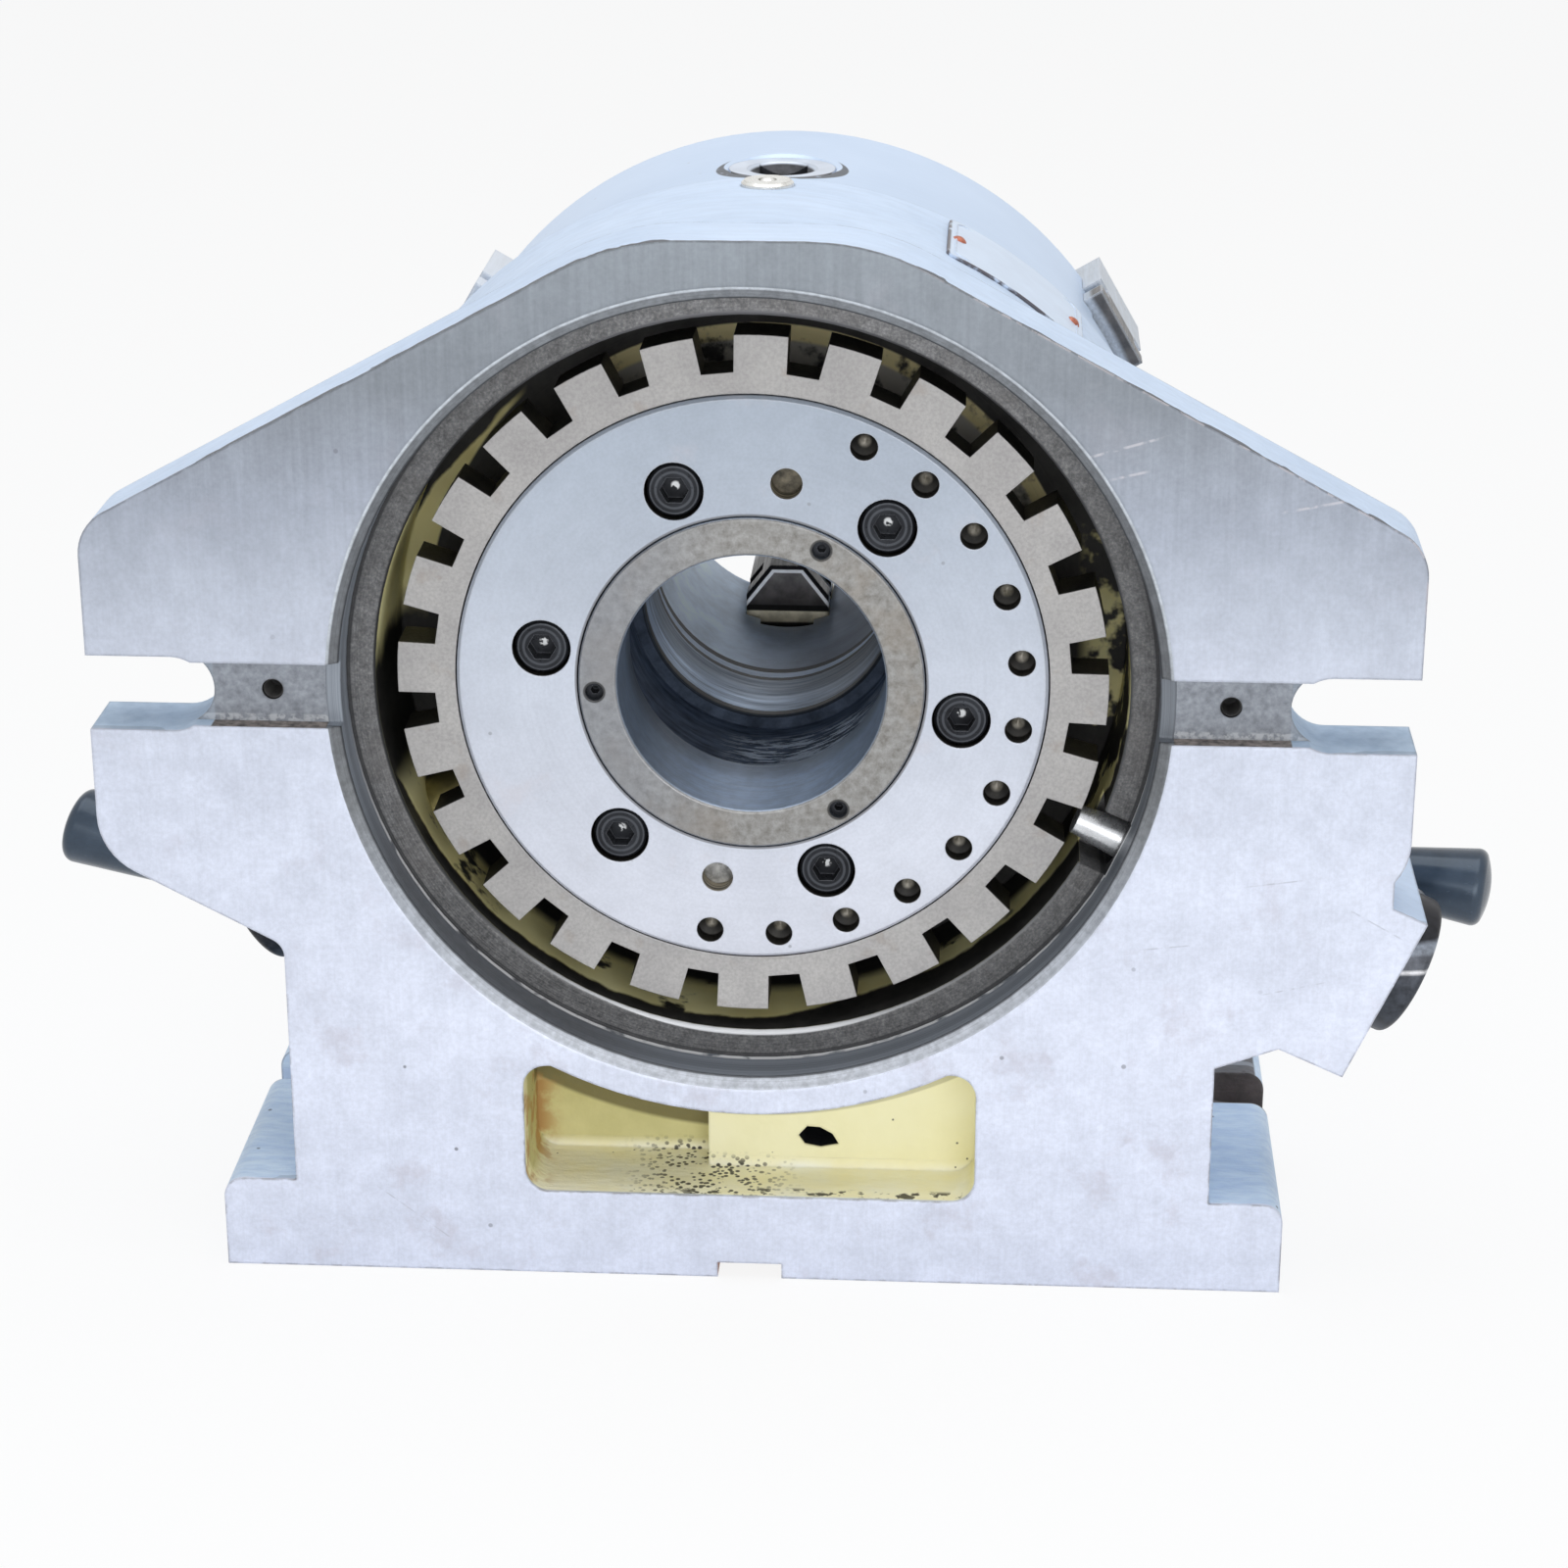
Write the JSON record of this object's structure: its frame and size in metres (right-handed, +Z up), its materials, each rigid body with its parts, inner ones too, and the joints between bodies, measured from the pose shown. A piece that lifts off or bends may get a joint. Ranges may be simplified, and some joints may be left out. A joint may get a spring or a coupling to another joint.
{
  "type": "rotary indexing table",
  "caption": "Rotary indexing head with a notched index ring, lever plunger, spindle clamp and three-jaw scroll chuck, mounted upright on its base or flat on its rear face.",
  "frame": {"origin": "middle of the base keyway at the rear face, on the surface that it stands on", "axes": "+Y along the spindle towards the chuck, +Z up, +X across the ears"},
  "size_m": [0.363, 0.232, 0.2633],
  "materials": {
    "housing": "light paint with machined mounting faces",
    "bright_steel": "ground",
    "spindle_steel": "turned",
    "ring_steel": "milled",
    "jaw_steel": "hardened and ground",
    "black_steel": "black oxide",
    "bronze": "turned",
    "knob": "gloss",
    "plate": "satin",
    "rivet": "satin"
  },
  "bodies": {
    "frame": {"casting": "housing", "rear_bush": "bronze", "front_bush": "bronze", "thrust_washer": "spindle_steel", "plunger_bush": "jaw_steel", "clamp_pad": "bronze", "nameplate": "plate", "nameplate_rivets": "rivet", "oil_cup": "bright_steel", "oil_ball": "bright_steel"},
    "spindle": {"spindle": "spindle_steel", "spindle_screws": "black_steel", "index_ring": "ring_steel", "index_disc": "bright_steel", "index_hub": "spindle_steel", "disc_screws": "black_steel", "disc_dowels": "spindle_steel", "chuck_body": "bright_steel", "chuck_cover": "bright_steel", "chuck_bolts": "black_steel", "pinion_screws": "black_steel"},
    "scroll": {"scroll": "jaw_steel"},
    "jaw_1": {"jaw_1": "jaw_steel"},
    "jaw_2": {"jaw_2": "jaw_steel"},
    "jaw_3": {"jaw_3": "jaw_steel"},
    "pinion_1": {"pinion_1": "black_steel"},
    "pinion_2": {"pinion_2": "black_steel"},
    "pinion_3": {"pinion_3": "black_steel"},
    "plunger": {"plunger": "bright_steel"},
    "index_lever": {"lever_hub": "black_steel", "lever_arm": "bright_steel", "lever_knob": "knob"},
    "clamp_lever": {"clamp_hub": "black_steel", "clamp_arm": "bright_steel", "clamp_knob": "knob"}
  },
  "joints": [
    {"name": "spindle_turn", "type": "hinge", "parent": "frame", "child": "spindle", "pos_m": [0, 0.06, 0.1524], "axis": [0, 1, 0], "continuous": true},
    {"name": "scroll_turn", "type": "hinge", "parent": "spindle", "child": "scroll", "pos_m": [0, 0.155, 0.1524], "axis": [0, 1, 0], "range_deg": [-504, 864]},
    {"name": "jaw_1_slide", "type": "slide", "parent": "spindle", "child": "jaw_1", "axis": [0, 0, -1], "range_m": [-0.0141, 0.0241]},
    {"name": "jaw_2_slide", "type": "slide", "parent": "spindle", "child": "jaw_2", "axis": [0.866, 0, 0.5], "range_m": [-0.0141, 0.0241]},
    {"name": "jaw_3_slide", "type": "slide", "parent": "spindle", "child": "jaw_3", "axis": [-0.866, 0, 0.5], "range_m": [-0.0141, 0.0241]},
    {"name": "pinion_1_turn", "type": "hinge", "parent": "spindle", "child": "pinion_1", "pos_m": [0, 0.141, 0.2424], "axis": [0, 0, 1], "range_deg": [-8123, 4739]},
    {"name": "pinion_2_turn", "type": "hinge", "parent": "spindle", "child": "pinion_2", "pos_m": [-0.07794, 0.141, 0.1074], "axis": [-0.866, 0, -0.5], "range_deg": [-8123, 4739]},
    {"name": "pinion_3_turn", "type": "hinge", "parent": "spindle", "child": "pinion_3", "pos_m": [0.07794, 0.141, 0.1074], "axis": [0.866, 0, -0.5], "range_deg": [-8123, 4739]},
    {"name": "index_lever_turn", "type": "hinge", "parent": "frame", "child": "index_lever", "pos_m": [0.15844, 0.0216, 0.0812], "axis": [0.9121, 0, -0.4099], "range_deg": [0, 60]},
    {"name": "plunger_slide", "type": "slide", "parent": "frame", "child": "plunger", "axis": [-0.9121, 0, 0.4099], "range_m": [0, 0.0091]},
    {"name": "clamp_lever_turn", "type": "hinge", "parent": "frame", "child": "clamp_lever", "pos_m": [-0.12564, 0.04, 0.08559], "axis": [-0.8829, 0, -0.4695], "range_deg": [0, 40]}
  ],
  "couplings": [
    {"joint": "jaw_1_slide", "follows": "scroll_turn", "m_per_rad": 0.0015915},
    {"joint": "jaw_2_slide", "follows": "scroll_turn", "m_per_rad": 0.0015915},
    {"joint": "jaw_3_slide", "follows": "scroll_turn", "m_per_rad": 0.0015915},
    {"joint": "pinion_1_turn", "follows": "scroll_turn", "ratio": -9.4},
    {"joint": "pinion_2_turn", "follows": "scroll_turn", "ratio": -9.4},
    {"joint": "pinion_3_turn", "follows": "scroll_turn", "ratio": -9.4},
    {"joint": "plunger_slide", "follows": "index_lever_turn", "m_per_rad": 0.0085944}
  ]
}
